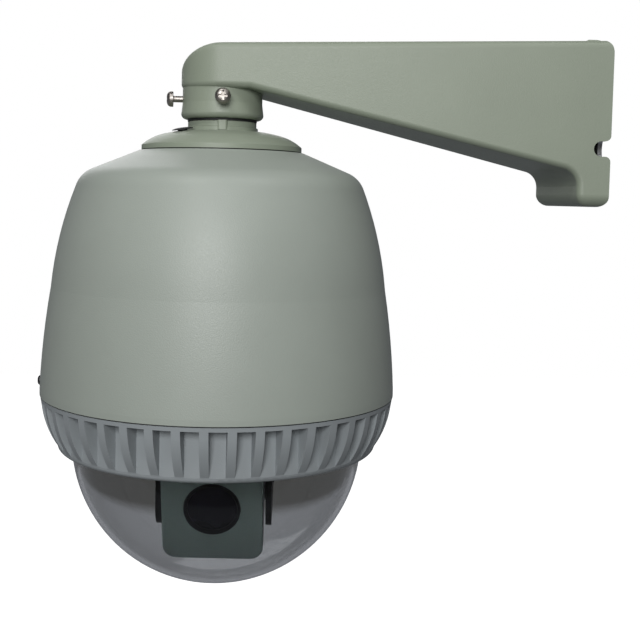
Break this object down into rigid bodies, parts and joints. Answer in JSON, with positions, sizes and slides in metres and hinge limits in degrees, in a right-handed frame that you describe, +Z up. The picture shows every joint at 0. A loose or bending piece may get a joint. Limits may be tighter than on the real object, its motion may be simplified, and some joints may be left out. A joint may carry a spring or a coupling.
{
  "type": "outdoor pan-tilt-zoom dome camera",
  "caption": "Pendant dome camera on a cast wall bracket: bell housing over a finned ring and smoked dome, with a belt-driven pan turntable and tilting zoom head inside.",
  "frame": {"origin": "centre of the wall plate's four anchor holes, on the wall face", "axes": "+X into the wall, +Z up; the dome hangs at -X and the lens faces -Y at rest"},
  "size_m": [0.3754, 0.24, 0.3707],
  "materials": {
    "housing_paint": "satin grey-green powder coat",
    "ring_paint": "satin blue-grey powder coat",
    "zinc_steel": "zinc plated",
    "stainless": "bright",
    "dark_steel": "blackened",
    "black_rubber": "matte",
    "smoked_dome": "smoked clear, polished",
    "black_metal": "matte black",
    "bronze": "sintered",
    "motor_case": "black ends, plain steel body",
    "machined_aluminium": "machined",
    "circuit_board": "green solder mask",
    "green_plastic": "moulded",
    "black_plastic": "moulded",
    "face_plastic": "satin light grey-green",
    "lens_glass": "coated",
    "inner_glass": "polished"
  },
  "bodies": {
    "housing": {"bracket_arm": "housing_paint", "wall_plate": "zinc_steel", "clamp_screws": "stainless", "bracket_lock_screws": "stainless", "neck_collar": "housing_paint", "neck_gasket": "black_rubber", "top_cap": "housing_paint", "cap_screws": "dark_steel", "cap_plug": "black_rubber", "cap_gasket": "black_rubber", "shell": "housing_paint", "side_screw": "dark_steel", "seam_seal": "black_rubber", "fin_ring": "ring_paint", "dome_seal": "black_rubber", "dome_cover": "smoked_dome", "dome_clamp_ring": "black_metal", "dome_clamp_screws": "dark_steel", "chassis_plate": "zinc_steel", "chassis_posts": "zinc_steel", "chassis_screws": "stainless", "pan_bush": "bronze", "pan_motor": "motor_case", "pan_motor_screws": "stainless", "pan_belt": "black_rubber", "power_board": "circuit_board", "board_posts": "zinc_steel", "terminal_block": "green_plastic", "heater_block": "machined_aluminium", "fan_housing": "black_plastic", "slip_ring_stator": "black_plastic", "slip_ring_bridge": "zinc_steel"},
    "pan_drive": {"pan_motor_pulley": "machined_aluminium"},
    "fan": {"fan_rotor": "black_plastic"},
    "turntable": {"pan_spindle": "machined_aluminium", "pan_pulley": "machined_aluminium", "spindle_retainer": "dark_steel", "slip_ring_rotor": "black_plastic", "turntable": "black_metal", "turntable_screws": "dark_steel", "yoke_left": "black_metal", "yoke_right": "black_metal", "tilt_motor": "motor_case", "tilt_motor_bracket": "black_metal", "tilt_belt": "black_rubber"},
    "tilt_drive": {"tilt_motor_pulley": "machined_aluminium"},
    "camera_head": {"tilt_pulley": "machined_aluminium", "tilt_trunnions": "dark_steel", "camera_case": "black_plastic", "camera_face_cover": "face_plastic", "lens_barrel": "black_plastic", "lens_front_glass": "lens_glass", "sensor_board": "circuit_board", "sensor_posts": "zinc_steel", "camera_rear_cover": "black_plastic", "camera_screws": "dark_steel"},
    "zoom_group": {"zoom_lens_group": "inner_glass"}
  },
  "joints": [
    {"name": "pan", "type": "hinge", "parent": "housing", "child": "turntable", "pos_m": [-0.2526, 0, -0.2458], "axis": [0, 0, 1], "continuous": true},
    {"name": "pan_motor_spin", "type": "hinge", "parent": "housing", "child": "pan_drive", "pos_m": [-0.1986, 0, -0.1428], "axis": [0, 0, 1], "continuous": true},
    {"name": "fan_spin", "type": "hinge", "parent": "housing", "child": "fan", "pos_m": [-0.2526, -0.064, -0.1158], "axis": [0, 0, 1], "continuous": true},
    {"name": "tilt", "type": "hinge", "parent": "turntable", "child": "camera_head", "pos_m": [-0.2526, 0, -0.2458], "axis": [0.9971, -0.0767, 0], "range_deg": [-16, 74]},
    {"name": "tilt_motor_spin", "type": "hinge", "parent": "turntable", "child": "tilt_drive", "pos_m": [-0.22189, -0.00236, -0.1808], "axis": [0.9971, -0.0767, 0], "range_deg": [-49, 223]},
    {"name": "zoom", "type": "slide", "parent": "camera_head", "child": "zoom_group", "axis": [0.0737, 0.9584, 0.2756], "range_m": [0, 0.022]}
  ],
  "couplings": [
    {"joint": "pan_motor_spin", "follows": "pan", "ratio": 3.75},
    {"joint": "tilt_motor_spin", "follows": "tilt", "ratio": 3}
  ]
}
